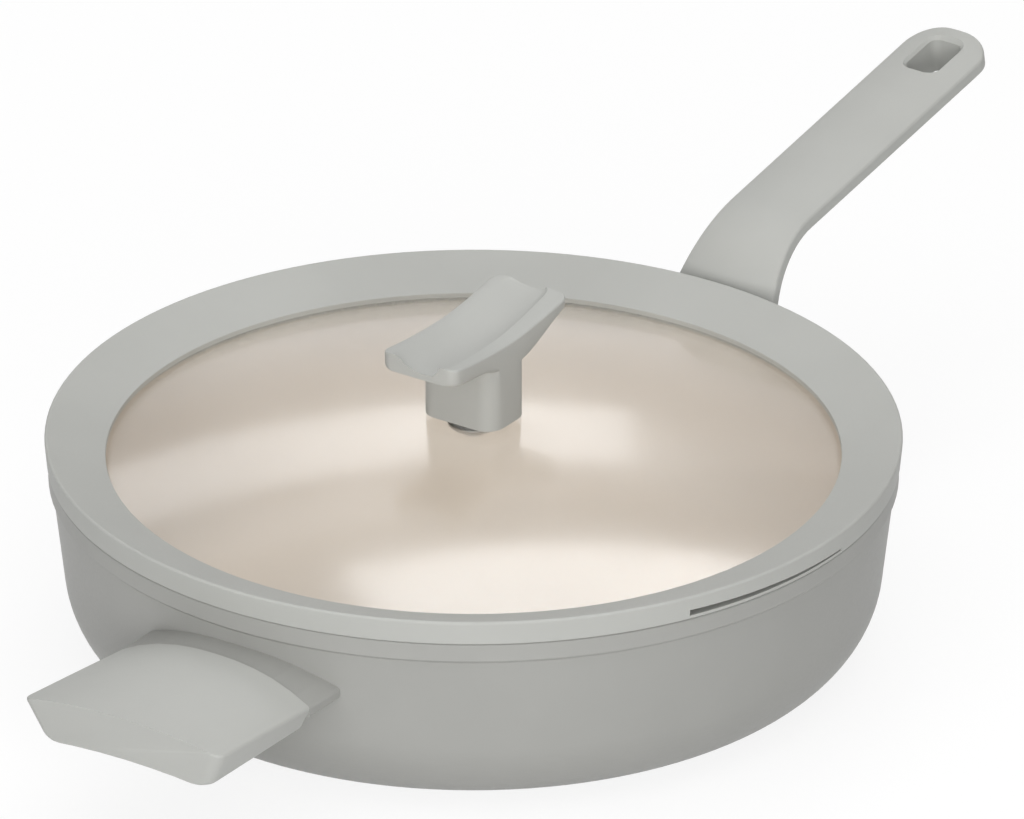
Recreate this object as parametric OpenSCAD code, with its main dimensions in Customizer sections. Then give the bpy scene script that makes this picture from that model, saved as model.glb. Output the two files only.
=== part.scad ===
// Shallow casserole pan: a pressed pan with one long handle and one tab handle, and a domed glass
// lid with a soft ring, strainer slots and a spouted knob.
// The origin is the centre of the underside. +X runs along the long handle and +Z is up.

/* [Pan] */
// Outer radius of the wall just under the rim band
wall_r = 145.6; // [130:0.2:170]
// Height of the rim above the table
pan_h = 70; // [64:0.5:85]
// Thickness of the wall
wall_t = 3; // [2:0.1:4]
// Thickness of the base
base_t = 5; // [4:0.1:7]
// Outer radius of the turn from base to wall
turn_r = 31.5; // [22:0.5:34]
// Lean of the wall away from upright, in degrees
wall_lean = 6.8; // [2:0.1:8]
// Height of the rim band
band_h = 6.4; // [4:0.1:9]
// How far the rim band stands out from the wall
band_out = 1.2; // [0.4:0.1:1.6]
// Rounding of the rim's edges
rim_round = 0.8; // [0.3:0.1:1.2]
// Thickness of the cream coat
coat_t = 0.4; // [0.2:0.05:0.6]
// Radius of the induction plate
plate_r = 92; // [80:1:100]
// Thickness of the induction plate
plate_t = 0.8; // [0.5:0.1:1.2]
// Radius of each hole in the induction plate
plate_hole_r = 2.6; // [1.5:0.1:3.5]

/* [Long handle] */
// Reach of the handle from the wall to its tip, measured level
handle_len = 154.5; // [120:0.5:200]
// Width of the grip
grip_w = 32; // [28:0.5:38]
// Thickness of the grip
grip_t = 16.5; // [12:0.5:20]
// Width of the root at the wall
root_w = 46; // [34:0.5:50]
// Thickness of the neck
neck_t = 18; // [14:0.5:21]
// Depth of the neck's top below the rim, at the wall
neck_drop = 7.7; // [7:0.1:14]
// Height that the neck climbs to the bend
neck_rise = 30.4; // [26:0.2:40]
// Tilt of the neck, in degrees
neck_tilt = 60; // [45:1:64]
// Tilt of the grip, in degrees
grip_tilt = 9.9; // [6:0.1:16]
// Radius of the bend along the top
bend_r = 44; // [24:1:48]
// Rise of the crown across the grip
grip_crown = 2.6; // [1.5:0.1:4]
// Rounding of the top edges
grip_edge = 1.2; // [0.6:0.1:2]
// Height of the upright side band
grip_side = 2.9; // [1.5:0.1:4]
// Height of the side band at the root
root_side = 1.7; // [0.8:0.1:3]
// Rounding of the tip's lower edge, seen from the side
tip_low = 4; // [2:0.5:6]
// Corner radius of the tip, seen from above
tip_round = 11.5; // [8:0.5:14]
// Length of the hanging hole
hole_len = 20; // [16:0.5:28]
// Width of the hanging hole
hole_w = 13; // [10:0.5:18]
// Corner radius of the hanging hole
hole_round = 3.5; // [2:0.5:5]
// Length of the tip past the hanging hole
hole_end = 6; // [4:0.5:9]
// Chamfer round the mouth of the hanging hole
hole_chamfer = 1.2; // [0.6:0.1:2]

/* [Tab handle] */
// Reach of the tab from the wall to its outer edge
tab_len = 67; // [50:0.5:80]
// Width of the tab along its outer top edge
tab_w = 83.5; // [70:0.5:90]
// Width of the tab along its crest
tab_crest_w = 79.5; // [68:0.5:88]
// Width of the tab along its bottom edge
tab_foot_w = 69.5; // [54:0.5:72]
// Depth of the outer top corners below the rim
tab_drop = 17.8; // [16:0.2:24]
// Height of the outer face at its corners
tab_t = 14.4; // [13:0.2:18]
// Drop of the top corners from the outer edge to the crest
tab_dip = 4; // [1:0.1:5]
// Rise of the arch along the outer edge
tab_arch_out = 4.5; // [2:0.1:5]
// Rise of the arch along the crest
tab_arch_in = 9.7; // [7:0.1:12]
// Corner radius of the outer end, seen from above
tab_round = 4.5; // [4:0.5:9]
// How far the bottom edge of the outer face stands back
tab_slant = 2.7; // [1:0.1:4]
// Depth of the saddle from the wall to the crest
saddle_out = 10.6; // [9:0.2:14]
// Width of the saddle
saddle_w = 79; // [70:0.5:94]
// Height of the saddle at its ends
saddle_end_h = 3.6; // [3.2:0.2:9]

/* [Lid] */
// Distance from the wall's outer face in to the edge of the glass
glass_inset = 11.6; // [10:0.1:14]
// Thickness of the glass
glass_t = 4; // [3:0.1:5]
// Radius of the dome's upper surface
dome_r = 512; // [450:2:650]
// Depth of the glass's top edge below the rim
glass_sink = 1.45; // [0.8:0.05:2.4]
// How far the ring stands out past the wall
ring_out = 2.6; // [2:0.1:4]
// Height of the ring's outer edge above its seat
ring_h = 9.1; // [7.5:0.1:12]
// How far the ring's side tucks in from top to seat
ring_tuck = 0.9; // [0.4:0.1:1.6]
// How far the ring laps over the glass
lap_w = 7; // [5:0.2:10]
// Thickness of the ring's inner edge over the glass
lap_t = 1.7; // [1:0.1:2.5]
// Thickness of the ring's lip under the glass
under_t = 2.2; // [1.6:0.1:3]
// How far the under lip reaches inwards
under_w = 5; // [3.5:0.2:7]
// Gap between the skirt and the coated wall
skirt_gap = 2.6; // [1.5:0.1:3.5]
// Running gap between the lid and the pan
seat_gap = 0.3; // [0.2:0.05:0.6]
// Height of a strainer slot at its blunt end
slot_h = 2.2; // [1.4:0.1:2.8]
// Height of a strainer slot at its thin end
slot_end_h = 0.6; // [0.4:0.1:1.2]
// Height of the strip under a strainer slot
slot_lip = 1.3; // [1:0.1:2]
// Depth of a strainer slot in front of its comb
slot_deep = 5; // [3:0.1:5.4]
// Length of a strainer slot round the ring, in degrees
slot_span = 28.8; // [16:0.8:40]
// Direction of the middle of the first strainer slot, in degrees
slot_azimuth = -101; // [-130:0.5:-80]
// Number of openings in the comb behind a strainer slot
comb_gaps = 8; // [4:1:12]
// Width of a rib of the comb
comb_rib = 2.4; // [1.6:0.1:3]

/* [Knob] */
// Reach of the knob's plate towards the tab handle
spout_len = 34; // [28:0.5:38]
// Reach of the knob's plate towards the long handle
heel_len = 36; // [30:0.5:42]
// Width of the knob's plate and post
knob_w = 31; // [27:0.5:34]
// Height of the lips above the glass at the spout
spout_h = 33.8; // [31:0.2:38]
// Height of the lips above the glass over the post
saddle_h = 31.6; // [29:0.2:34]
// Height of the lips above the glass at the heel
heel_h = 36; // [33:0.2:40]
// Depth of the trough at the spout
trough_spout = 4.4; // [3:0.1:5]
// Depth of the trough at the heel
trough_heel = 1.6; // [0.8:0.1:2.5]
// Thickness of the plate at the spout
spout_t = 6.6; // [6:0.1:8]
// Thickness of the plate at the heel
heel_t = 4; // [3:0.1:5]
// Thickness of the plate beside the post
brow_t = 10.4; // [8:0.1:12]
// Length of the post along the handle axis
post_len = 22.5; // [19:0.5:26]
// Corner radius of the post
post_round = 6.5; // [4:0.5:7]
// Width of the wide lip at the spout
near_lip_spout = 3.5; // [2.5:0.5:6]
// Width of the wide lip at the heel
near_lip_heel = 8; // [6:0.5:9]
// Width of the narrow lip
far_lip = 3.5; // [2:0.5:5]

/* [Fasteners] */
// Radius of the knob's screw
knob_screw_r = 2.5; // [2:0.1:3]
// Radius of the knob's screw head
knob_head_r = 4.6; // [4:0.1:5.5]
// Radius of the knob's washer
washer_r = 9; // [8:0.2:12]
// Radius of the knob's brass nut
nut_r = 4.6; // [4:0.1:6]
// Height of the knob's brass nut
nut_h = 13; // [10:0.5:15]
// Radius of the handle screws
screw_r = 2.1; // [1.6:0.1:2.6]
// Radius of the handle screws' heads
head_r = 4; // [3.2:0.1:4.6]
// Width of the long handle's tongue
tongue_w = 14; // [12:0.5:18]
// Thickness of both tongues
tongue_t = 5; // [4:0.1:5.6]
// Length of the long handle's tongue
tongue_len = 26; // [22:0.5:30]
// Width of the tab handle's tongue
tab_tongue_w = 46; // [40:0.5:50]

/* [Hidden] */
$fn = 128;
// Clearance round a tongue, a nut and a screw
clear = 0.2;
// How far a cutter runs past the face that it cuts
over = 2;
// Number of steps round a small edge, a plan corner and a long curve
edge_steps = 4;
corner_steps = 6;
curve_steps = 12;
turn_steps = 24;

// Colours of the pieces
grey_coat = [0.62, 0.62, 0.6];
grey_soft = [0.72, 0.72, 0.69];
cream = [0.93, 0.89, 0.83];

// Points of an arc about c
function arc(c, r, a0, a1, n) =
    [for (i = [0:n]) c + r * [cos(a0 + (a1 - a0) * i / n), sin(a0 + (a1 - a0) * i / n)]];
function unit(v) = v / norm(v);
function mix(a, b, k) = a + (b - a) * k;
// 0 below 0, 1 above 1, and a smooth ramp between
function ease(x) = let (k = min(max(x, 0), 1)) k * k * (3 - 2 * k);
function quarter(x) = let (k = min(max(x, 0), 1)) sqrt(1 - k * k);
function near_turn(a) = a - 360 * round(a / 360);

// The corner at p, between the points a and b, rounded to radius r
function rounded(a, p, b, r, n) =
    let (u = unit(a - p), v = unit(b - p), half = acos(u * v) / 2,
         c = p + unit(u + v) * r / sin(half),
         s = p + u * r / tan(half) - c, e = p + v * r / tan(half) - c,
         a0 = atan2(s.y, s.x), sweep = near_turn(atan2(e.y, e.x) - a0))
    arc(c, r, a0, a0 + sweep, n);
// An outline whose corners have the radii in rs
function outline(ps, rs, n) =
    let (m = len(ps))
    [for (i = [0:m - 1])
        each rs[i] == 0 ? [ps[i]] : rounded(ps[(i + m - 1) % m], ps[i], ps[(i + 1) % m], rs[i], n)];
function box_outline(l, w, r) =
    outline([[-l, -w] / 2, [l, -w] / 2, [l, w] / 2, [-l, w] / 2], [r, r, r, r], corner_steps);

// Skin over a row of rings that all have the same even number of points, each clockwise as seen
// from the rings that come after it. An end is closed by strips from each point of the ring's first
// half to its partner in the second half.
module loft(rings) {
    n = len(rings[0]);
    m = len(rings);
    far_end = (m - 1) * n;
    sides = [for (j = [0:m - 2], i = [0:n - 1])
        let (k = (i + 1) % n)
        each [[j * n + i, j * n + k, (j + 1) * n + i], [j * n + k, (j + 1) * n + k, (j + 1) * n + i]]];
    ends = [for (i = [0:n / 2 - 2])
        let (j = n - 1 - i)
        each [[i, j, j - 1], [i, j - 1, i + 1],
              [far_end + i, far_end + i + 1, far_end + j - 1], [far_end + i, far_end + j - 1, far_end + j]]];
    polyhedron(points = [for (r = rings) each r], faces = concat(ends, sides));
}

// Radius of the wall at height z, moved inwards by inset
wall_top = pan_h - band_h;
function wall_at(z, inset) = wall_r - (wall_top - z) * tan(wall_lean) - inset / cos(wall_lean);
// From the axis along the floor, round the turn and up the wall to height top
function bowl_line(inset, floor_z, turn, top) =
    concat([[0, floor_z]],
           arc([wall_at(floor_z + turn, inset) - turn / cos(wall_lean), floor_z + turn],
               turn, -90, -wall_lean, turn_steps),
           [[wall_at(top, inset), top]]);
function reversed(ps) = [for (i = [len(ps) - 1:-1:0]) ps[i]];

// Everything inside the pan's outer surface, grown by grow
module pan_space(grow = 0) {
    rotate_extrude()
        polygon(concat(bowl_line(-grow, -grow, turn_r + grow, wall_top - band_out),
                       [[wall_r + band_out + grow, wall_top], [wall_r + band_out + grow, pan_h + over],
                        [0, pan_h + over]]));
}

module pan_body() {
    band_r = wall_r + band_out;
    inner_r = wall_at(pan_h, wall_t);
    rim = outline([[wall_r, wall_top - band_out], [band_r, wall_top], [band_r, pan_h],
                   [inner_r, pan_h], [wall_at(wall_top, wall_t), wall_top]],
                  [0, rim_round / 2, rim_round, rim_round, 0], edge_steps);
    color(grey_coat)
        difference() {
            rotate_extrude()
                polygon(concat(bowl_line(0, 0, turn_r, wall_top - band_out), rim,
                               reversed(bowl_line(wall_t, base_t, turn_r - wall_t, wall_top - band_out))));
            translate([0, 0, -over]) cylinder(r = plate_r, h = plate_t + over);
        }
}

module ceramic_lining() {
    top = pan_h - rim_round;
    color(cream)
        rotate_extrude()
            polygon(concat(bowl_line(wall_t, base_t, turn_r - wall_t, top),
                           reversed(bowl_line(wall_t + coat_t, base_t + coat_t,
                                              turn_r - wall_t - coat_t, top))));
}

// Rings of holes, six more in each ring than in the one inside it
plate_rings = 4;
module induction_plate() {
    pitch = plate_r / (plate_rings + 1);
    color("silver")
        difference() {
            cylinder(r = plate_r, h = plate_t);
            for (ring = [1:plate_rings], i = [0:6 * ring - 1])
                rotate(360 * i / (6 * ring))
                    translate([pitch * ring, 0, -over])
                        cylinder(r = plate_hole_r, h = plate_t + 2 * over, $fn = 24);
        }
}

// The long handle's top line: up the neck, round the bend and along the grip
neck_z = pan_h - neck_drop;
neck_foot = [wall_at(neck_z, 0), neck_z];
bend_turn = neck_tilt - grip_tilt;
function along(tilt) = [cos(tilt), sin(tilt)];
// Square to the top line, into the handle
function into(tilt) = [sin(tilt), -cos(tilt)];
neck_len = neck_rise / sin(neck_tilt) - bend_r * tan(bend_turn / 2);
bend_start = neck_foot + neck_len * along(neck_tilt);
bend_centre = bend_start + bend_r * into(neck_tilt);
bend_end = bend_centre - bend_r * into(grip_tilt);
bend_len = bend_r * bend_turn * PI / 180;
grip_start = neck_len + bend_len;
handle_end = grip_start + (wall_r + handle_len - bend_end.x) / cos(grip_tilt);
function tilt_at(s) = mix(neck_tilt, grip_tilt, min(max((s - neck_len) / bend_len, 0), 1));
function top_at(s) =
    s < neck_len ? neck_foot + s * along(neck_tilt)
    : s < grip_start ? bend_centre - bend_r * into(tilt_at(s))
    : bend_end + (s - grip_start) * along(grip_tilt);
// Share of the way from the wall to the grip, and from the straight edges to the tip's end
flare_power = 1.7;
function to_grip(s) = 1 - pow(1 - min(max(s / grip_start, 0), 1), flare_power);
function tip_share(s, round) = quarter((s - handle_end + round) / round);
function handle_full(s) = mix(root_w, grip_w, to_grip(s)) / 2;
function handle_half(s) = handle_full(s) - tip_round * (1 - tip_share(s, tip_round));
// Depths below the crown of the side band's upper and lower edges and of the underside
band_top = grip_crown + grip_edge;
function band_low(s) = band_top + mix(root_side, grip_side, to_grip(s)) * tip_share(s, tip_low);
function handle_deep(s) =
    mix(band_low(s), mix(neck_t, grip_t, to_grip(s)), tip_share(s, tip_round));
crown_shares = [-0.85, -0.6, -0.3, 0, 0.3, 0.6, 0.85];
function handle_ring(s) =
    let (half = handle_half(s), low = band_low(s), deep = handle_deep(s), tilt = tilt_at(s), top = top_at(s),
         crown = grip_crown * pow(half / handle_full(s), 2),
         upper = [for (k = crown_shares) [k * half, crown * k * k]],
         lower = [for (k = reversed(crown_shares)) [k * half, mix(deep, low, k * k)]],
         sides = [[half, crown], [half, low]], far_sides = [[-half, low], [-half, crown]],
         shape = outline(concat(upper, sides, lower, far_sides),
                         concat([for (k = upper) 0], [grip_edge, 0], [for (k = lower) 0], [0, grip_edge]),
                         edge_steps))
    [for (p = shape) let (q = top + p.y * into(tilt)) [q.x, p.x, q.y]];
root_start = -neck_t * tan(neck_tilt) - root_w / 4;
handle_stops = concat([for (i = [0:5]) mix(root_start, neck_len, i / 6)],
                      [for (i = [0:curve_steps]) mix(neck_len, grip_start, i / curve_steps)],
                      [for (i = [1:corner_steps]) mix(grip_start, handle_end - tip_round, i / corner_steps)],
                      [for (i = [1:curve_steps]) handle_end - tip_round * (1 - sin(90 * i / curve_steps))]);

// The neck's own frame, on its middle line where it meets the wall
neck_mid = neck_foot + neck_t / 2 * into(neck_tilt);
neck_wall = neck_mid + (neck_foot.x - neck_mid.x) / cos(neck_tilt) * along(neck_tilt);
module on_neck() {
    translate([neck_wall.x, 0, neck_wall.y]) rotate([0, -neck_tilt, 0]) children();
}
tongue_foot_w = tongue_w + tongue_t;
tongue_foot_t = tongue_t / 2;
// Bar and foot of the long handle's tongue, with room round them, run on into the pan
module tongue_shape(room) {
    on_neck()
        translate([-tongue_w, -tongue_w / 2 - room, -tongue_t / 2 - room])
            cube([tongue_w + tongue_len + room, tongue_w + 2 * room, tongue_t + 2 * room]);
    intersection() {
        pan_space(tongue_foot_t + room);
        translate([wall_r / 2, -tongue_foot_w / 2 - room, neck_wall.y - tongue_foot_w / 2 - room])
            cube([wall_r, tongue_foot_w + 2 * room, tongue_foot_w + 2 * room]);
    }
}
// The screw crosses the tongue from the underside of the neck
screw_at = tongue_len * 2 / 3;
head_share = 0.7;
head_h = head_r * head_share;
// Handle material between the tongue and the screw's head
seat_wall = tongue_t / 2;
head_seat = -tongue_t / 2 - seat_wall;
module cross_screw(room, below) {
    translate([0, 0, head_seat - (below > 0 ? below : head_h)])
        cylinder(r = head_r + room, h = below > 0 ? below : head_h);
    translate([0, 0, head_seat])
        cylinder(r = screw_r + room, h = seat_wall + tongue_t + screw_r / 2 + room);
}
module hanging_hole() {
    s = handle_end - hole_end - hole_len / 2;
    p = top_at(s);
    sag = grip_crown * pow(hole_w / grip_w, 2);
    translate([p.x, 0, p.y]) rotate([0, -grip_tilt, 0]) {
        translate([0, 0, -grip_t - over])
            linear_extrude(height = grip_t + 2 * over) polygon(box_outline(hole_len, hole_w, hole_round));
        loft([for (grow = [0, 2 * hole_chamfer])
            [for (p = reversed(box_outline(hole_len + 2 * grow, hole_w + 2 * grow, hole_round + grow)))
                [p.x, p.y, grow - sag - hole_chamfer]]]);
    }
}
module long_handle() {
    color(grey_soft)
        difference() {
            loft([for (s = handle_stops) handle_ring(s)]);
            pan_space();
            tongue_shape(clear);
            on_neck() translate([screw_at, 0, 0]) cross_screw(clear, neck_t);
            hanging_hole();
        }
}
module long_handle_tongue() {
    color("gainsboro")
        difference() {
            tongue_shape(0);
            pan_space();
            on_neck() translate([screw_at, 0, -tongue_t]) cylinder(r = screw_r, h = 2 * tongue_t);
        }
}
module long_handle_screw() {
    color("silver") on_neck() translate([screw_at, 0, 0]) cross_screw(0, 0);
}

// The tab handle is drawn along +X and turned round to the far side of the pan
crest_x = wall_r + saddle_out;
tab_end_x = wall_r + tab_len;
tab_corner_z = pan_h - tab_drop;
tab_foot_z = tab_corner_z - tab_t;
tongue_share = 0.6;
tab_tongue_z = tab_foot_z + tab_t * tongue_share;
module far_side() {
    rotate(180) children();
}
// Rounding of the tab's lower edges, rise of its underside, and how squarely its arches fall
tab_low_round = 4;
tab_belly = 1.7;
arch_power = 2.4;
tab_shares = [-0.8, -0.6, -0.4, -0.2, 0, 0.2, 0.4, 0.6, 0.8];
belly_shares = [0.7, 0.35, 0, -0.35, -0.7];
function fall(share) = 1 - pow(abs(share), arch_power);
function tab_ring(x) =
    let (k = (x - crest_x) / (tab_end_x - crest_x), full = mix(tab_crest_w, tab_w, k) / 2,
         trim = tab_round * (1 - quarter((x - tab_end_x + tab_round) / tab_round)),
         half = full - trim, foot = tab_foot_w / 2 - trim,
         corner = mix(tab_corner_z - tab_dip, tab_corner_z, k), arch = mix(tab_arch_in, tab_arch_out, k),
         upper = [for (e = tab_shares) [e * half, corner + arch * fall(e * half / full)]],
         edge = corner + arch * fall(half / full),
         lower = [for (e = belly_shares) [e * foot, tab_foot_z + tab_belly * (1 - e * e)]],
         sides = [[half, edge], [foot, tab_foot_z]], far_sides = [[-foot, tab_foot_z], [-half, edge]],
         shape = outline(concat(upper, sides, lower, far_sides),
                         concat([for (e = upper) 0], [grip_edge, tab_low_round], [for (e = lower) 0],
                                [tab_low_round, grip_edge]),
                         edge_steps))
    [for (p = shape) [x - tab_slant * k * (tab_corner_z - p.y) / tab_t, p.x, p.y]];
tab_stops = concat([for (i = [0:5]) mix(crest_x, tab_end_x - tab_round, i / 5)],
                   [for (i = [1:corner_steps + 2])
                       tab_end_x - tab_round * (1 - sin(90 * i / (corner_steps + 2)))]);
tab_tongue_len = tab_len * tongue_share;
tab_screw_x = wall_r + tab_tongue_len - head_r - seat_wall;
module tab_tongue_shape(room) {
    translate([wall_r / 2, -tab_tongue_w / 2 - room, tab_tongue_z - tongue_t / 2 - room])
        cube([wall_r / 2 + tab_tongue_len + room, tab_tongue_w + 2 * room, tongue_t + 2 * room]);
    intersection() {
        pan_space(tongue_foot_t + room);
        translate([wall_r / 2, -tab_tongue_w / 2 - room, tab_tongue_z - tongue_t - room])
            cube([wall_r, tab_tongue_w + 2 * room, 2 * (tongue_t + room)]);
    }
}
module tab_screws(room, below) {
    for (side = [-1, 1])
        translate([tab_screw_x, side * tab_tongue_w / 3, tab_tongue_z]) cross_screw(room, below);
}
module tab_handle() {
    color(grey_soft)
        far_side()
            difference() {
                loft([for (x = tab_stops) tab_ring(x)]);
                tab_tongue_shape(clear);
                tab_screws(clear, tab_t);
            }
}
// The saddle closes the room between the wall and the tab's inner face
saddle_round = 1.4;
saddle_arch = 8.8;
saddle_belly = 7;
saddle_top_z = tab_corner_z - tab_dip;
saddle_low_z = saddle_top_z - saddle_end_h;
saddle_shares = [-0.85, -0.6, -0.4, -0.2, 0, 0.2, 0.4, 0.6, 0.85];
module tab_saddle() {
    half = saddle_w / 2;
    upper = [for (e = saddle_shares) [e * half, saddle_top_z + saddle_arch * fall(e)]];
    lower = [for (e = reversed(saddle_shares)) [e * half, saddle_low_z - saddle_belly * (1 - e * e)]];
    corners = [[half, saddle_top_z], [half, saddle_low_z]];
    far_corners = [[-half, saddle_low_z], [-half, saddle_top_z]];
    color(grey_coat)
        far_side()
            difference() {
                translate([wall_r / 2, 0, 0])
                    rotate([90, 0, 90])
                        linear_extrude(height = crest_x - wall_r / 2)
                            polygon(outline(concat(upper, corners, lower, far_corners),
                                            concat([for (e = upper) 0], [saddle_round, saddle_round],
                                                   [for (e = lower) 0], [saddle_round, saddle_round]),
                                            edge_steps));
                pan_space();
                tab_tongue_shape(clear);
            }
}
module tab_tongue() {
    color("gainsboro")
        far_side()
            difference() {
                tab_tongue_shape(0);
                pan_space();
                for (side = [-1, 1])
                    translate([tab_screw_x, side * tab_tongue_w / 3, tab_tongue_z - tongue_t])
                        cylinder(r = screw_r, h = 2 * tongue_t);
            }
}
module tab_handle_screws() {
    color("silver") far_side() tab_screws(0, 0);
}

// The glass disc follows the wall
glass_r = wall_r - glass_inset;
// Height of the dome at radius r, at a depth below its upper surface
dome_z = pan_h - glass_sink - sqrt(pow(dome_r, 2) - pow(glass_r, 2));
function dome_at(r, depth) = dome_z + sqrt(pow(dome_r - depth, 2) - r * r);
glass_top = dome_at(0, 0);
glass_low = dome_at(0, glass_t);
// Room round the screw in the glass, filled by the gasket's collar
glass_hole_r = knob_screw_r + 2 * clear + glass_t / 2;
module glass_section(hole = 0) {
    radii = [for (i = [0:turn_steps]) mix(glass_r, hole, i / turn_steps)];
    polygon(concat([for (r = radii) [r, dome_at(r, 0)]],
                   [for (r = reversed(radii)) [r, dome_at(r, glass_t)]]));
}
module lid_glass() {
    color([0.85, 0.9, 0.88, 0.35]) rotate_extrude() glass_section(glass_hole_r);
}

seat_z = pan_h + seat_gap;
ring_r = wall_r + ring_out;
lap_r = glass_r - lap_w;
skirt_r = wall_at(pan_h, wall_t + coat_t) - skirt_gap;
skirt_low = dome_at(glass_r, glass_t) - under_t;
ring_edge = 0.8;
module ring_section() {
    ps = [[lap_r, dome_at(lap_r, glass_t / 2)], [lap_r, dome_at(lap_r, 0) + lap_t], [ring_r, seat_z + ring_h],
          [ring_r - ring_tuck, seat_z], [skirt_r, seat_z], [skirt_r - ring_tuck, skirt_low],
          [glass_r - under_w, dome_at(glass_r - under_w, glass_t) - under_t / 2],
          [glass_r - under_w, dome_at(glass_r - under_w, glass_t / 2)]];
    difference() {
        polygon(outline(ps, [0, ring_edge / 2, ring_edge, ring_edge / 2, 0, ring_edge, ring_edge / 2, 0],
                        edge_steps));
        glass_section();
    }
}
// A strainer slot opens through the ring's side. Behind it the comb's grooves run down the skirt.
// The slot is blunt at one end, and its roof slopes down to the other.
slot_low = seat_z + slot_lip;
comb_r = ring_r - slot_deep;
comb_in = skirt_r - 2 * ring_tuck;
module slot_roof() {
    side = ring_r * sin(slot_span / 2);
    low = skirt_low - 2 * over;
    rotate([90, 0, 90])
        linear_extrude(height = ring_r + 2 * over)
            polygon([[-side, low], [side, low], [side, slot_low + slot_end_h], [-side, slot_low + slot_h]]);
}
module strainer_slot() {
    rim_in = wall_at(pan_h, wall_t) - rim_round;
    pitch = slot_span / comb_gaps;
    gap = pitch - comb_rib / comb_r * 180 / PI;
    intersection() {
        slot_roof();
        union() {
            rotate(-slot_span / 2)
                rotate_extrude(angle = slot_span)
                    translate([comb_r, slot_low]) square([ring_r - comb_r + over, slot_h + over]);
            for (i = [0:comb_gaps - 1])
                rotate(-slot_span / 2 + pitch * i + (pitch - gap) / 2)
                    rotate_extrude(angle = gap)
                        polygon([[comb_in, skirt_low - over], [rim_in, skirt_low - over], [rim_in, slot_low],
                                 [comb_r + over / 2, slot_low], [comb_r + over / 2, slot_low + slot_h + over],
                                 [comb_in, slot_low + slot_h + over]]);
        }
    }
}
module lid_ring() {
    color(grey_soft)
        difference() {
            rotate_extrude() ring_section();
            for (turn = [0, 180]) rotate(slot_azimuth + turn) strainer_slot();
        }
}

// Soft washers and the plain washer that clamp the glass
seal_t = 0.8;
gasket_t = 1.2;
washer_t = 1.2;
post_z = glass_top + seal_t;
knob_head_share = 0.55;
knob_head_h = knob_head_r * knob_head_share;
washer_z = glass_low - gasket_t - washer_t;

// Heights of the lips, depth of the trough and thickness of the plate along the knob
heel_power = 1.6;
heel_brow = post_len / 4;
knob_round = 4;
knob_edge = 0.8;
function along_knob(x) = (x + spout_len) / (spout_len + heel_len);
function lip_z(x) =
    glass_top + (x < 0 ? mix(saddle_h, spout_h, pow(x / spout_len, 2))
                       : mix(saddle_h, heel_h, pow(x / heel_len, heel_power)));
function trough_at(x) = mix(trough_spout, trough_heel, ease(along_knob(x)));
function plate_at(x) =
    x < 0 ? mix(brow_t, spout_t, ease(-2 * x / spout_len))
          : mix(brow_t, heel_t, ease((x - heel_brow) / (heel_len - heel_brow)));
// Place across the trough from the wide lip, and share of its depth there
trough_shares = [[0.03, 0.44], [0.14, 0.93], [0.36, 1], [0.6, 0.9], [0.8, 0.55], [0.92, 0.2]];
// How far the rounded corners draw the plate in
function knob_trim(x) =
    knob_round * (2 - quarter((x - heel_len + knob_round) / knob_round)
                    - quarter((-x - spout_len + knob_round) / knob_round));
function knob_ring(x) =
    let (half = knob_w / 2, k = 1 - knob_trim(x) / half, top = lip_z(x), deep = trough_at(x),
         low = top - plate_at(x), far = half - far_lip,
         near = -half + mix(near_lip_spout, near_lip_heel, along_knob(x)),
         trough = concat([[near, top]], [for (e = trough_shares) [mix(near, far, e[0]), top - deep * e[1]]],
                         [[far, top]]),
         under = [for (p = reversed(trough)) [p.x, low]],
         flat = [for (p = trough) 0],
         shape = outline(concat([[-half, top]], trough, [[half, top], [half, low]], under, [[-half, low]]),
                         concat([knob_edge], flat, [knob_edge, 2 * knob_edge], flat, [2 * knob_edge]),
                         edge_steps))
    [for (p = shape) [x, p.x * k, p.y]];
knob_stops = concat([for (i = [0:5]) -spout_len + knob_round * (1 - cos(90 * i / 5))],
                    [for (i = [1:curve_steps - 1])
                        mix(-spout_len + knob_round, heel_len - knob_round, i / curve_steps)],
                    [for (i = [0:5]) heel_len - knob_round * (1 - sin(90 * i / 5))]);
module knob() {
    color(grey_soft)
        difference() {
            union() {
                loft([for (x = knob_stops) knob_ring(x)]);
                translate([0, 0, post_z])
                    linear_extrude(height = saddle_h - trough_spout - seal_t - over)
                        polygon(box_outline(post_len, knob_w, post_round));
            }
            translate([0, 0, post_z - over]) cylinder(r = nut_r, h = nut_h + over);
        }
}
module knob_nut() {
    color("goldenrod")
        translate([0, 0, post_z])
            difference() {
                cylinder(r = nut_r, h = nut_h);
                translate([0, 0, -over]) cylinder(r = knob_screw_r, h = nut_h + 2 * over);
            }
}
module knob_seal() {
    color("dimgray")
        difference() {
            translate([0, 0, glass_top - over])
                linear_extrude(height = over + seal_t)
                    polygon(box_outline(post_len - post_round, knob_w - post_round, post_round / 2));
            rotate_extrude() glass_section();
            translate([0, 0, glass_low - over]) cylinder(r = knob_screw_r + clear, h = glass_t + 2 * over);
        }
}
module knob_gasket() {
    color("dimgray")
        difference() {
            union() {
                translate([0, 0, glass_low - gasket_t]) cylinder(r = washer_r - gasket_t, h = gasket_t);
                translate([0, 0, glass_low - gasket_t])
                    cylinder(r = glass_hole_r - clear, h = gasket_t + glass_t - clear);
            }
            rotate_extrude() glass_section(glass_hole_r);
            translate([0, 0, glass_low - over]) cylinder(r = knob_screw_r + clear, h = glass_t + 2 * over);
        }
}
module knob_washer() {
    color("silver")
        translate([0, 0, washer_z])
            difference() {
                cylinder(r = washer_r, h = washer_t);
                translate([0, 0, -over]) cylinder(r = knob_screw_r + clear, h = washer_t + 2 * over);
            }
}
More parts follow.
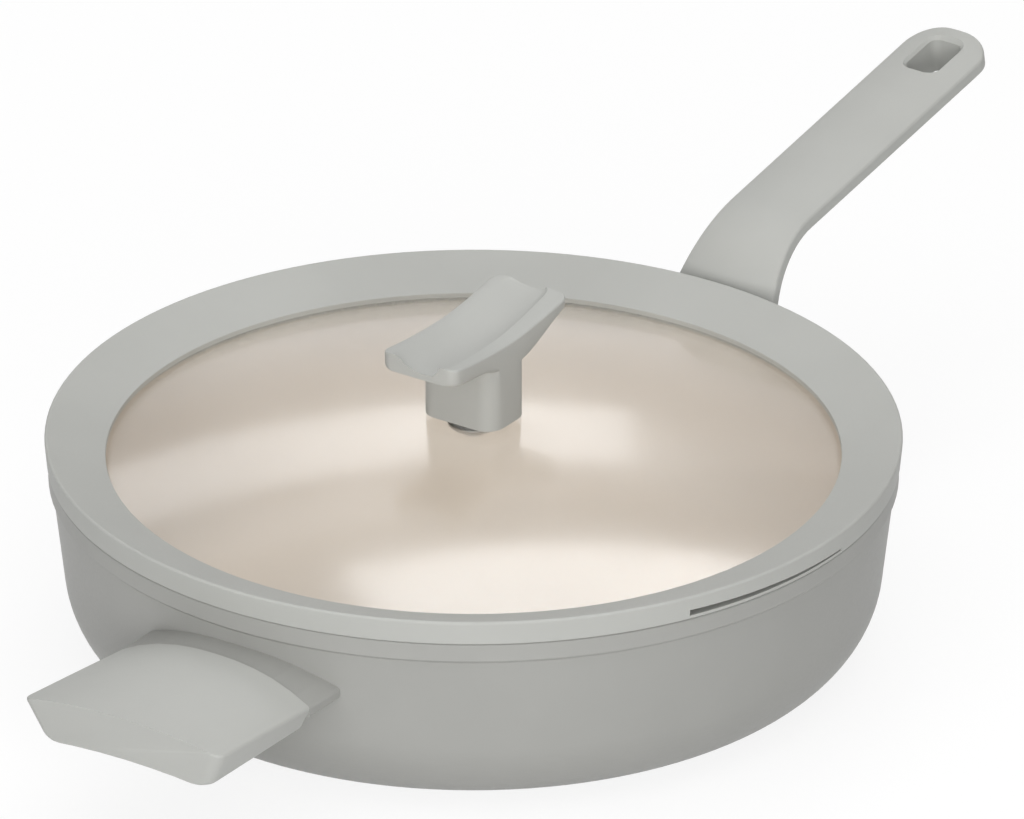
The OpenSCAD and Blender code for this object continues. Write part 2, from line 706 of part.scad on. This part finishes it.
module knob_screw() {
    color("silver") {
        translate([0, 0, washer_z - knob_head_h]) cylinder(r = knob_head_r, h = knob_head_h);
        translate([0, 0, washer_z]) cylinder(r = knob_screw_r, h = post_z + nut_h - knob_screw_r - washer_z);
    }
}

pan_body();
ceramic_lining();
induction_plate();
long_handle();
long_handle_tongue();
long_handle_screw();
tab_handle();
tab_saddle();
tab_tongue();
tab_handle_screws();
lid_glass();
lid_ring();
knob();
knob_nut();
knob_seal();
knob_gasket();
knob_washer();
knob_screw();
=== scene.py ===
# Shallow casserole pan with its glass lid: the finishes, the smoothed mouldings and glass, the
# fasteners cut in full, and the studio that it stands in. Metres, Z up, the long handle along +X.
import math
import bpy
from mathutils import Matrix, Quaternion, Vector


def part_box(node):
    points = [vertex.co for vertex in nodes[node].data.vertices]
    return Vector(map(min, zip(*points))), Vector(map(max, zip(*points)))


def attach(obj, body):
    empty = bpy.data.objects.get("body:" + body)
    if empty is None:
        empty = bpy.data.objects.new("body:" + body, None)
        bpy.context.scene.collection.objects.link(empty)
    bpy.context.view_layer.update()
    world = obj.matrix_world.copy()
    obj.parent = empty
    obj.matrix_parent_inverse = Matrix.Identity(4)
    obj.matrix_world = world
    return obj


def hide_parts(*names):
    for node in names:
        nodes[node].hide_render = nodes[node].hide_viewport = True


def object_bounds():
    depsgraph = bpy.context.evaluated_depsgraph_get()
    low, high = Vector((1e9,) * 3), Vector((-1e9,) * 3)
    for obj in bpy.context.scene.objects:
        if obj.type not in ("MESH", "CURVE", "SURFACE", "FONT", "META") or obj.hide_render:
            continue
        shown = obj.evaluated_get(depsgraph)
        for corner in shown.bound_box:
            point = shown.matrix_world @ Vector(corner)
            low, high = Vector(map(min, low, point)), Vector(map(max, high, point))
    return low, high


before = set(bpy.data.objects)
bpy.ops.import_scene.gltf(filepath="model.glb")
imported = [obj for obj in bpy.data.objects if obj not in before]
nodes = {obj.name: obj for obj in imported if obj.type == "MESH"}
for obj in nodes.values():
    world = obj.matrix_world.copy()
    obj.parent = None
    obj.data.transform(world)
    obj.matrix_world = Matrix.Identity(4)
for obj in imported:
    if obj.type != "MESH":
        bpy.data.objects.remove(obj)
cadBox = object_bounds()
bpy.ops.object.select_all(action='DESELECT')
print("frame loaded:", len(nodes), "nodes")

# The camera stands far off with a long lens, at the photograph's angle
cameraSetup = {
    "distance": 12.0,
    "azimuth": -55.55,        # degrees round the pan
    "elevation": 25.77,
    "pixelsPerMetre": 2899.4,  # on the lid
    "imageWidth": 1024,
    "imageHeight": 819,
    "rimCentreX": 473.63,     # pixels, where the centre of the lid's top edge lands
    "rimCentreY": 433.75,
    "sensor": 36.0,           # millimetres
    "reach": 48.0,            # how far it sees
}
turn = math.radians(-cameraSetup["azimuth"])
tilt = math.radians(cameraSetup["elevation"])
photoRight = Vector((math.cos(turn), -math.sin(turn), 0))
photoDepth = Vector((math.sin(turn), math.cos(turn), 0))
photoUp = photoDepth * math.sin(tilt) + Vector((0, 0, math.cos(tilt)))
viewLine = photoDepth * math.cos(tilt) - Vector((0, 0, math.sin(tilt)))
rimCentre = Vector((0, 0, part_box("lid_ring")[1].z))


def addCamera(setup):
    scale = setup["pixelsPerMetre"]
    aim = rimCentre + photoRight * (setup["imageWidth"] / 2 - setup["rimCentreX"]) / scale
    aim -= photoUp * (setup["imageHeight"] / 2 - setup["rimCentreY"]) / scale
    bpy.ops.object.camera_add(location=aim - viewLine * setup["distance"])
    camera = bpy.context.object
    camera.rotation_euler = viewLine.to_track_quat('-Z', 'Y').to_euler()
    camera.data.sensor_width = setup["sensor"]
    camera.data.lens = scale * setup["distance"] * setup["sensor"] / setup["imageWidth"]
    camera.data.clip_end = setup["reach"]
    bpy.context.scene.camera = camera


addCamera(cameraSetup)
print("camera placed")


# Helpers for the meshes
mergeWithin = 0.000002
starterSize = 0.001           # the plane that shrinks to a profile's first point


def pickUp(piece):
    bpy.ops.object.select_all(action='DESELECT')
    piece.select_set(True)
    bpy.context.view_layer.objects.active = piece


def settle(piece):
    # leaves the object at the origin, with its place in its mesh
    pickUp(piece)
    bpy.ops.object.transform_apply(location=True, rotation=True, scale=True)


def selectEdges(piece, wanted):
    # picks edges by the places of their two ends, and stays in edit mode
    pickUp(piece)
    bpy.ops.object.mode_set(mode='EDIT')
    bpy.ops.mesh.select_mode(type='EDGE')
    bpy.ops.mesh.select_all(action='DESELECT')
    bpy.ops.object.mode_set(mode='OBJECT')
    spots = piece.data.vertices
    for edge in piece.data.edges:
        edge.select = wanted(*(spots[i].co for i in edge.vertices))
    bpy.ops.object.mode_set(mode='EDIT')


def applied(piece, kind, settings):
    # adds a modifier with these settings and makes it part of the mesh
    pickUp(piece)
    modifier = piece.modifiers.new(kind.lower(), kind)
    for setting, value in settings.items():
        setattr(modifier, setting, value)
    bpy.ops.object.modifier_apply(modifier=modifier.name)


def combine(piece, other, operation):
    applied(piece, 'BOOLEAN', {"operation": operation, "object": other, "solver": 'EXACT'})
    bpy.data.objects.remove(other)


def drawProfile(start, moves):
    # a line drawn point by point from start, with its object at the origin
    bpy.ops.object.select_all(action='DESELECT')
    bpy.ops.mesh.primitive_plane_add(size=starterSize, location=start)
    line = bpy.context.object
    settle(line)
    bpy.ops.object.mode_set(mode='EDIT')
    bpy.ops.mesh.select_mode(type='VERT')
    bpy.ops.mesh.select_all(action='SELECT')
    bpy.ops.mesh.merge(type='CENTER')
    for move in moves:
        bpy.ops.mesh.extrude_vertices_move(TRANSFORM_OT_translate={"value": move})
    bpy.ops.object.mode_set(mode='OBJECT')
    return line


def closeUp(piece):
    # merges what coincides and turns every face outwards
    pickUp(piece)
    bpy.ops.object.mode_set(mode='EDIT')
    bpy.ops.mesh.select_all(action='SELECT')
    bpy.ops.mesh.remove_doubles(threshold=mergeWithin)
    bpy.ops.mesh.normals_make_consistent(inside=False)
    bpy.ops.object.mode_set(mode='OBJECT')


def finishPiece(piece, name, material, bodyName, replaced):
    piece.name = piece.data.name = name
    piece.data.materials.clear()
    piece.data.materials.append(material)
    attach(piece, bodyName)
    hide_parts(*replaced)


facetJoin = {"flatWithin": 12, "squareWithin": 60}   # degrees


def smoothCopy(nodeName, creaseAngle):
    # a merged copy of a node, with its small facets blended and its real edges kept
    piece = bpy.data.objects.new(nodeName + "_soft", nodes[nodeName].data.copy())
    bpy.context.collection.objects.link(piece)
    pickUp(piece)
    bpy.ops.mesh.customdata_custom_splitnormals_clear()
    bpy.ops.object.mode_set(mode='EDIT')
    bpy.ops.mesh.select_all(action='SELECT')
    bpy.ops.mesh.remove_doubles(threshold=mergeWithin)
    bpy.ops.mesh.dissolve_degenerate(threshold=mergeWithin)
    bpy.ops.mesh.tris_convert_to_quads(face_threshold=math.radians(facetJoin["flatWithin"]),
                                       shape_threshold=math.radians(facetJoin["squareWithin"]))
    bpy.ops.object.mode_set(mode='OBJECT')
    bpy.ops.object.shade_smooth_by_angle(angle=math.radians(creaseAngle))
    return piece


# Helpers for the materials
colourSpan = (0.35, 0.65)     # the parts of a noise's range that are used
roughSpan = (0.3, 0.7)


def blankMaterial(name):
    material = bpy.data.materials.new(name)
    material.use_nodes = True
    tree = material.node_tree
    shader = tree.nodes["Principled BSDF"]
    place = tree.nodes.new("ShaderNodeTexCoord")
    return material, tree, shader, place.outputs["Object"]


def addNoise(tree, place, scale, detail=2.0):
    noise = tree.nodes.new("ShaderNodeTexNoise")
    noise.inputs["Scale"].default_value = scale
    noise.inputs["Detail"].default_value = detail
    tree.links.new(place, noise.inputs["Vector"])
    return noise.outputs["Fac"]


def driftColour(tree, place, shader, look, detail=2.0):
    # the colour drifts from a little darker to a little paler
    share = addNoise(tree, place, look["driftScale"], detail)
    ramp = tree.nodes.new("ShaderNodeValToRGB")
    shades = (1 - look["drift"], 1 + look["drift"])
    for stop, position, shade in zip(ramp.color_ramp.elements, colourSpan, shades):
        stop.position = position
        stop.color = (*(part * shade for part in look["colour"]), 1)
    tree.links.new(share, ramp.inputs["Fac"])
    tree.links.new(ramp.outputs["Color"], shader.inputs["Base Color"])


def driftRoughness(tree, shader, share, look):
    span = tree.nodes.new("ShaderNodeMapRange")
    span.inputs["From Min"].default_value, span.inputs["From Max"].default_value = roughSpan
    span.inputs["To Min"].default_value = look["roughLow"]
    span.inputs["To Max"].default_value = look["roughHigh"]
    tree.links.new(share, span.inputs["Value"])
    tree.links.new(span.outputs["Result"], shader.inputs["Roughness"])


def addBump(tree, shader, height, strength, depth):
    bump = tree.nodes.new("ShaderNodeBump")
    bump.inputs["Strength"].default_value = strength
    bump.inputs["Distance"].default_value = depth
    tree.links.new(height, bump.inputs["Height"])
    tree.links.new(bump.outputs["Normal"], shader.inputs["Normal"])


def rayPick(tree, names):
    # 1 for the kinds of ray named, and 0 for the rest
    path = tree.nodes.new("ShaderNodeLightPath")
    total = path.outputs[names[0]]
    for name in names[1:]:
        either = tree.nodes.new("ShaderNodeMath")
        either.operation = 'MAXIMUM'
        tree.links.new(total, either.inputs[0])
        tree.links.new(path.outputs[name], either.inputs[1])
        total = either.outputs["Value"]
    return total


def mixShaders(tree, share, first, second, target):
    mixer = tree.nodes.new("ShaderNodeMixShader")
    for source, socket in zip((share, first, second), mixer.inputs):
        tree.links.new(source, socket)
    tree.links.new(mixer.outputs["Shader"], target)


def grainedMaterial(look):
    # a slow drift of the colour, a roughness that varies with the grain, and the grain as relief
    material, tree, shader, place = blankMaterial(look["name"])
    driftColour(tree, place, shader, look, detail=3)
    grain = addNoise(tree, place, look["grainScale"], detail=look["grainDetail"])
    driftRoughness(tree, shader, grain, look)
    addBump(tree, shader, grain, look["relief"], look["grainDepth"])
    shader.inputs["IOR"].default_value = look["ior"]
    for socket, value in look.get("sockets", {}).items():
        shader.inputs[socket].default_value = value
    return material


sprayedGrey = grainedMaterial({
    "name": "sprayed_grey_coat", "colour": (0.375, 0.375, 0.356), "drift": 0.02, "driftScale": 22,
    "grainScale": 900, "grainDetail": 3, "grainDepth": 0.00003, "relief": 0.25,
    "roughLow": 0.42, "roughHigh": 0.52, "ior": 1.45})
creamCeramic = grainedMaterial({
    "name": "cream_ceramic_coat", "colour": (0.8, 0.72, 0.632), "drift": 0.008, "driftScale": 14,
    "grainScale": 900, "grainDetail": 2, "grainDepth": 0.000005, "relief": 0.05,
    "roughLow": 0.22, "roughHigh": 0.3, "ior": 1.5})
softTouch = grainedMaterial({
    "name": "soft_touch_moulding", "colour": (0.488, 0.493, 0.468), "drift": 0.015, "driftScale": 30,
    "grainScale": 1800, "grainDetail": 2, "grainDepth": 0.00003, "relief": 0.3,
    "roughLow": 0.5, "roughHigh": 0.62, "ior": 1.45, "sockets": {"Sheen Weight": 0.06}})
ringSilicone = grainedMaterial({
    "name": "ring_silicone", "colour": (0.48, 0.485, 0.46), "drift": 0.015, "driftScale": 26,
    "grainScale": 1400, "grainDetail": 2, "grainDepth": 0.00002, "relief": 0.25,
    "roughLow": 0.46, "roughHigh": 0.58, "ior": 1.42})
sealSilicone = grainedMaterial({
    "name": "seal_silicone", "colour": (0.3, 0.3, 0.29), "drift": 0.03, "driftScale": 60,
    "grainScale": 1500, "grainDetail": 2, "grainDepth": 0.00002, "relief": 0.25,
    "roughLow": 0.5, "roughHigh": 0.62, "ior": 1.42})
castAluminium = grainedMaterial({
    "name": "cast_aluminium", "colour": (0.7, 0.7, 0.71), "drift": 0.06, "driftScale": 120,
    "grainScale": 1100, "grainDetail": 4, "grainDepth": 0.00008, "relief": 0.5,
    "roughLow": 0.34, "roughHigh": 0.5, "ior": 1.45, "sockets": {"Metallic": 1.0}})
platedSteel = grainedMaterial({
    "name": "plated_steel", "colour": (0.6, 0.6, 0.59), "drift": 0.05, "driftScale": 300,
    "grainScale": 2600, "grainDetail": 3, "grainDepth": 0.00001, "relief": 0.3,
    "roughLow": 0.24, "roughHigh": 0.36, "ior": 1.45, "sockets": {"Metallic": 1.0}})


def turnedMetal(look):
    # fine rings about the pan's own axis, as a lathe leaves them
    material, tree, shader, place = blankMaterial(look["name"])
    driftColour(tree, place, shader, look)
    rings = tree.nodes.new("ShaderNodeTexWave")
    rings.wave_type = 'RINGS'
    rings.rings_direction = 'Z'
    rings.inputs["Scale"].default_value = look["ringScale"]
    rings.inputs["Distortion"].default_value = look["ringWander"]
    tree.links.new(place, rings.inputs["Vector"])
    driftRoughness(tree, shader, rings.outputs["Fac"], look)
    addBump(tree, shader, rings.outputs["Fac"], look["relief"], look["grainDepth"])
    shader.inputs["Metallic"].default_value = 1.0
    return material


brushedSteel = turnedMetal({
    "name": "brushed_steel", "colour": (0.62, 0.62, 0.615), "drift": 0.04, "driftScale": 90,
    "ringScale": 500, "ringWander": 0.6, "grainDepth": 0.00001, "relief": 0.3,
    "roughLow": 0.22, "roughHigh": 0.34})
turnedBrass = turnedMetal({
    "name": "turned_brass", "colour": (0.7, 0.54, 0.26), "drift": 0.05, "driftScale": 150,
    "ringScale": 400, "ringWander": 0.4, "grainDepth": 0.00001, "relief": 0.3,
    "roughLow": 0.26, "roughHigh": 0.38})

glassLook = {
    "tint": (0.99, 0.988, 0.982),
    "ior": 1.45,
    "smudgeScale": 18,
    "roughLow": 0.1,
    "roughHigh": 0.14,
    "wave": 0.001,
    "waveDepth": 0.00002,
}


def clearGlass(look):
    # clear tempered glass with faint smudges, which lets the lamps through to what it covers
    material, tree, shader, place = blankMaterial("clear_tempered_glass")
    smudge = addNoise(tree, place, look["smudgeScale"], detail=3)
    driftRoughness(tree, shader, smudge, look)
    addBump(tree, shader, smudge, look["wave"], look["waveDepth"])
    shader.inputs["Base Color"].default_value = (*look["tint"], 1)
    shader.inputs["Transmission Weight"].default_value = 1.0
    shader.inputs["IOR"].default_value = look["ior"]
    passing = rayPick(tree, ["Is Shadow Ray", "Is Diffuse Ray"])
    clear = tree.nodes.new("ShaderNodeBsdfTransparent")
    clear.inputs["Color"].default_value = (*look["tint"], 1)
    mixShaders(tree, passing, shader.outputs["BSDF"], clear.outputs["BSDF"],
               tree.nodes["Material Output"].inputs["Surface"])
    return material


lidGlass = clearGlass(glassLook)
print("materials mixed")

# CAD pieces whose shape is right keep it and get their finish
nodeFinish = {
    "pan_body": sprayedGrey, "ceramic_lining": creamCeramic, "induction_plate": brushedSteel,
    "long_handle_tongue": castAluminium, "tab_saddle": sprayedGrey, "tab_tongue": castAluminium,
    "lid_ring": ringSilicone, "knob_nut": turnedBrass, "knob_seal": sealSilicone,
    "knob_gasket": sealSilicone,
}
for nodeName, material in nodeFinish.items():
    nodes[nodeName].data.materials[0] = material
print("carried-over pieces finished")

# The three moulded grips and the glass dome, whose flat facets would show as ripples
smoothed = {
    "long_handle": {"piece": "long_grip", "body": "pan", "crease": 32,
                    "finish": softTouch, "slot": "handle_moulding"},
    "tab_handle": {"piece": "tab_grip", "body": "pan", "crease": 32,
                   "finish": softTouch, "slot": "handle_moulding"},
    "knob": {"piece": "lid_knob", "body": "lid", "crease": 30,
             "finish": softTouch, "slot": "handle_moulding"},
    "lid_glass": {"piece": "glass_dome", "body": "lid", "crease": 30,
                  "finish": lidGlass, "slot": "clear_glass"},
}
for nodeName, plan in smoothed.items():
    copied = smoothCopy(nodeName, plan["crease"])
    finishPiece(copied, plan["piece"], plan["finish"], plan["body"], [nodeName])
print("mouldings and dome smoothed")

# Screws with a rolled thread and a cross recess, measured from the CAD pieces that they replace
screwLook = {
    "facets": 40,
    "headRound": 0.55,        # of the head's height
    "headSteps": 5,
    "recessLength": 1.15,     # of the head's radius
    "recessWidth": 0.3,       # of the head's radius
    "recessDepth": 0.6,       # of the head's height
    "recessTaper": 0.55,      # its width at the bottom, of that at the top
    "sunk": 0.3,              # of the head's height, how far the thread runs into it
    "threadDepth": 0.18,      # of the shank's radius
    "flatShare": 0.2,         # of the pitch, the crest and the root
    "slopeShare": 0.3,        # of the pitch, each flank
    "turnSteps": 24,
    "spareTurns": 2,          # at each end, before the thread is cut to length
    "tipChamfer": 1.3,        # of the thread's depth
    "crease": 30,             # degrees
}
# lean is in degrees from upright, and sides has one entry for each screw, 0 for a single one
screws = {
    "knob_bolt": {"node": "knob_screw", "body": "lid", "lean": 0, "pitch": 0.0008, "sides": [0]},
    "grip_screw": {"node": "long_handle_screw", "body": "pan", "lean": 60, "pitch": 0.0007,
                   "sides": [0]},
    "tab_screws": {"node": "tab_handle_screws", "body": "pan", "lean": 0, "pitch": 0.0007,
                   "sides": [-1, 1]},
}


def measureScrew(nodeName, axis, side):
    # where the head's outer face is, and the sizes of head and shank
    points = [spot.co for spot in nodes[nodeName].data.vertices if spot.co.y * side >= 0]
    across = Vector((0, 1, 0))
    down = across.cross(axis)
    low = min(point.dot(axis) for point in points)
    length = max(point.dot(axis) for point in points) - low
    foot = Vector()
    for way in (across, down):
        reaches = [point.dot(way) for point in points]
        foot += way * (min(reaches) + max(reaches)) / 2
    foot += axis * low
    fromAxis = [((point - foot) - axis * (point - foot).dot(axis)).length for point in points]
    heights = [(point - foot).dot(axis) for point in points]
    spots = list(zip(fromAxis, heights))
    shank = max(reach for reach, height in spots if height > length - mergeWithin)
    head = max(fromAxis)
    headHeight = max(height for reach, height in spots if reach > (head + shank) / 2)
    return {"foot": foot, "length": length, "head": head, "headHeight": headHeight, "shank": shank}


def turnHead(size):
    tall = size["headHeight"]
    bpy.ops.mesh.primitive_cylinder_add(vertices=screwLook["facets"], radius=size["head"], depth=tall,
                                        location=(0, 0, tall / 2))
    head = bpy.context.object
    settle(head)
    selectEdges(head, lambda a, b: max(a.z, b.z) < mergeWithin)
    bpy.ops.mesh.bevel(offset=tall * screwLook["headRound"], segments=screwLook["headSteps"],
                       affect='EDGES')
    bpy.ops.object.mode_set(mode='OBJECT')
    deep = tall * screwLook["recessDepth"]
    for quarter in range(2):
        bpy.ops.mesh.primitive_cube_add(size=1, rotation=(0, 0, quarter * math.pi / 2),
                                        scale=(size["head"] * screwLook["recessLength"],
                                               size["head"] * screwLook["recessWidth"], deep * 2))
        bar = bpy.context.object
        settle(bar)
        bpy.ops.object.mode_set(mode='EDIT')
        bpy.ops.mesh.select_all(action='DESELECT')
        bpy.ops.object.mode_set(mode='OBJECT')
        for corner in bar.data.vertices:
            corner.select = corner.co.z > 0
        bpy.ops.object.mode_set(mode='EDIT')
        narrower = screwLook["recessTaper"]
        bpy.ops.transform.resize(value=(narrower, narrower, 1), center_override=(0, 0, 0))
        bpy.ops.object.mode_set(mode='OBJECT')
        combine(head, bar, 'DIFFERENCE')
    return head


def rollThread(size, pitch):
    # one tooth, wound up the shank past both ends, closed, and cut to a blank with a chamfered tip
    start = size["headHeight"] * (1 - screwLook["sunk"])
    deep = size["shank"] * screwLook["threadDepth"]
    spare = screwLook["spareTurns"]
    turns = math.ceil((size["length"] - start) / pitch) + 2 * spare
    flat = pitch * screwLook["flatShare"]
    slope = pitch * screwLook["slopeShare"]
    thread = drawProfile((size["shank"] - deep, 0, start - spare * pitch),
                         [(0, 0, flat), (deep, 0, slope), (0, 0, flat), (-deep, 0, slope)])
    applied(thread, 'SCREW', {"axis": 'Z', "screw_offset": pitch, "iterations": turns,
                              "steps": screwLook["turnSteps"], "render_steps": screwLook["turnSteps"]})
    closeUp(thread)
    bpy.ops.object.mode_set(mode='EDIT')
    bpy.ops.mesh.fill_holes(sides=0)
    bpy.ops.mesh.select_all(action='DESELECT')
    bpy.ops.mesh.select_mode(type='FACE')
    bpy.ops.object.mode_set(mode='OBJECT')
    for face in thread.data.polygons:
        face.select = len(face.vertices) > 4   # the two filled ends
    bpy.ops.object.mode_set(mode='EDIT')
    bpy.ops.mesh.poke()
    bpy.ops.object.mode_set(mode='OBJECT')
    closeUp(thread)
    tall = size["length"] - start
    bpy.ops.mesh.primitive_cylinder_add(vertices=screwLook["facets"], radius=size["shank"] + deep,
                                        depth=tall, location=(0, 0, size["length"] - tall / 2))
    blank = bpy.context.object
    settle(blank)
    selectEdges(blank, lambda a, b: min(a.z, b.z) > size["length"] - mergeWithin)
    bpy.ops.mesh.bevel(offset=deep * (1 + screwLook["tipChamfer"]), segments=1, affect='EDGES')
    bpy.ops.object.mode_set(mode='OBJECT')
    combine(thread, blank, 'INTERSECT')
    return thread


def makeScrews(name, plan):
    lean = math.radians(plan["lean"])
    axis = Vector((-math.sin(lean), 0, math.cos(lean)))
    made = []
    for side in plan["sides"]:
        size = measureScrew(plan["node"], axis, side)
        screw = turnHead(size)
        combine(screw, rollThread(size, plan["pitch"]), 'UNION')
        screw.rotation_euler = (0, -lean, 0)
        screw.location = size["foot"]
        settle(screw)
        made.append(screw)
    pickUp(made[0])
    for screw in made:
        screw.select_set(True)
    if len(made) > 1:
        bpy.ops.object.join()
    bpy.ops.object.shade_smooth_by_angle(angle=math.radians(screwLook["crease"]))
    finishPiece(made[0], name, platedSteel, plan["body"], [plan["node"]])


for name, plan in screws.items():
    makeScrews(name, plan)
print("screws cut")

# The pressed cup washer that holds the knob's gasket against the glass
washerPlan = {
    "facets": 72,
    "hole": 0.0027,
    "lip": 0.0009,            # thickness of the turned-up lip
    "lipRise": 0.0008,        # above the washer's flat
    "dish": 0.0011,           # how far the outer corner is drawn in
    "edge": 0.00018,          # how far the edges are rounded
    "edgeSteps": 3,
    "edgeFrom": 30,           # degrees, the least turn that counts as an edge
    "crease": 40,
}


def pressWasher(plan):
    low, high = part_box("knob_washer")
    outer, tall = high.x, high.z - low.z
    cup = drawProfile((plan["hole"], 0, low.z),
                      [(outer - plan["dish"] - plan["hole"], 0, 0), (plan["dish"], 0, plan["dish"]),
                       (0, 0, tall + plan["lipRise"] - plan["dish"]), (-plan["lip"], 0, 0),
                       (0, 0, -plan["lipRise"]), (plan["hole"] + plan["lip"] - outer, 0, 0),
                       (0, 0, -tall)])
    closeUp(cup)
    bpy.ops.object.mode_set(mode='EDIT')
    bpy.ops.mesh.select_all(action='SELECT')
    bpy.ops.mesh.spin(steps=plan["facets"], angle=2 * math.pi, center=(0, 0, 0), axis=(0, 0, 1))
    bpy.ops.object.mode_set(mode='OBJECT')
    closeUp(cup)
    applied(cup, 'BEVEL', {"width": plan["edge"], "segments": plan["edgeSteps"],
                           "limit_method": 'ANGLE', "angle_limit": math.radians(plan["edgeFrom"])})
    bpy.ops.object.shade_smooth_by_angle(angle=math.radians(plan["crease"]))
    finishPiece(cup, "cup_washer", brushedSteel, "lid", ["knob_washer"])


pressWasher(washerPlan)
print("washer pressed")

# Studio: a pale floor and soft lamps, placed along the photograph's own axes
studio = {
    "floorSize": 8.0,
    "floorGap": 0.0001,       # keeps the floor and the pan's underside from fighting
    "floorColour": (0.7, 0.7, 0.7),
    "floorGlow": 0.86,        # what the camera sees on the floor beside the shadow
    "floorShade": (0.16, 0.16, 0.16),   # how much of the shadow it sees
    "ambient": 0.17,
    "backdrop": 0.85,         # pale near the horizon
    "ceiling": 0.42,          # and greyer overhead, where only the lamps shine
    "backdropTop": 0.12,      # sine of the height at which it starts to darken
    "ceilingFoot": 0.32,
    "lampsAway": 2.5,
}
# around is in degrees from the camera's side, to the right, and height in degrees above the rim
lamps = [
    {"name": "front", "around": 1, "height": 14, "wide": 2.2, "tall": 1.0, "strength": 5.3},
    {"name": "left", "around": -36, "height": 26, "wide": 1.3, "tall": 1.2, "strength": 1.2},
    {"name": "overhead", "around": 0, "height": 80, "wide": 3.4, "tall": 2.8, "strength": 1.3},
    {"name": "back", "around": 168, "height": 52, "wide": 1.25, "tall": 0.6, "strength": 3.9,
     "roll": 22},
    {"name": "crescent", "around": -166, "height": 29.5, "wide": 1.75, "tall": 0.46, "strength": 1.5},
    {"name": "middle", "around": -163, "height": 40.5, "wide": 0.85, "tall": 0.26, "strength": 0.75},
]
seenRays = ["Is Camera Ray", "Is Glossy Ray", "Is Transmission Ray"]


def layFloor(plan):
    bpy.ops.mesh.primitive_plane_add(size=plan["floorSize"],
                                     location=(0, 0, cadBox[0].z - plan["floorGap"]))
    floor = bpy.context.object
    floor.name = "floor"
    material = bpy.data.materials.new("pale_floor")
    material.use_nodes = True
    tree = material.node_tree
    tree.nodes.clear()
    plain = tree.nodes.new("ShaderNodeBsdfDiffuse")
    plain.inputs["Color"].default_value = (*plan["floorColour"], 1)
    shade = tree.nodes.new("ShaderNodeBsdfDiffuse")
    shade.inputs["Color"].default_value = (*plan["floorShade"], 1)
    glow = tree.nodes.new("ShaderNodeEmission")
    glow.inputs["Strength"].default_value = plan["floorGlow"]
    lit = tree.nodes.new("ShaderNodeAddShader")
    tree.links.new(shade.outputs["BSDF"], lit.inputs[0])
    tree.links.new(glow.outputs["Emission"], lit.inputs[1])
    output = tree.nodes.new("ShaderNodeOutputMaterial")
    mixShaders(tree, rayPick(tree, seenRays), plain.outputs["BSDF"], lit.outputs["Shader"],
               output.inputs["Surface"])
    floor.data.materials.append(material)


def lightWorld(plan):
    world = bpy.data.worlds.new("studio")
    bpy.context.scene.world = world
    world.use_nodes = True
    tree = world.node_tree
    tree.nodes.clear()
    ambient = tree.nodes.new("ShaderNodeBackground")
    seen = tree.nodes.new("ShaderNodeBackground")
    for light in (ambient, seen):
        light.inputs["Color"].default_value = (1, 1, 1, 1)
    ambient.inputs["Strength"].default_value = plan["ambient"]
    place = tree.nodes.new("ShaderNodeTexCoord")
    parts = tree.nodes.new("ShaderNodeSeparateXYZ")
    tree.links.new(place.outputs["Generated"], parts.inputs["Vector"])
    fade = tree.nodes.new("ShaderNodeMapRange")
    fade.inputs["From Min"].default_value = plan["backdropTop"]
    fade.inputs["From Max"].default_value = plan["ceilingFoot"]
    fade.inputs["To Min"].default_value = plan["backdrop"]
    fade.inputs["To Max"].default_value = plan["ceiling"]
    tree.links.new(parts.outputs["Z"], fade.inputs["Value"])
    tree.links.new(fade.outputs["Result"], seen.inputs["Strength"])
    output = tree.nodes.new("ShaderNodeOutputWorld")
    mixShaders(tree, rayPick(tree, seenRays), ambient.outputs["Background"],
               seen.outputs["Background"], output.inputs["Surface"])


def hangLamp(lamp):
    around = math.radians(lamp["around"])
    height = math.radians(lamp["height"])
    sideways = photoRight * math.sin(around) - photoDepth * math.cos(around)
    outwards = sideways * math.cos(height) + Vector((0, 0, math.sin(height)))
    where = rimCentre + outwards * studio["lampsAway"]
    bpy.ops.object.light_add(type='AREA', location=where)
    light = bpy.context.object
    light.name = lamp["name"] + "_softbox"
    aimed = (rimCentre - where).to_track_quat('-Z', 'Y')
    rolled = Quaternion((0, 0, 1), math.radians(lamp.get("roll", 0)))
    light.rotation_euler = (aimed @ rolled).to_euler()
    light.data.shape = 'RECTANGLE'
    light.data.size = lamp["wide"]
    light.data.size_y = lamp["tall"]
    light.data.energy = lamp["strength"] * math.pi * lamp["wide"] * lamp["tall"]


layFloor(studio)
lightWorld(studio)
for lamp in lamps:
    hangLamp(lamp)
bpy.context.scene.view_settings.view_transform = 'Standard'
print("studio lit")
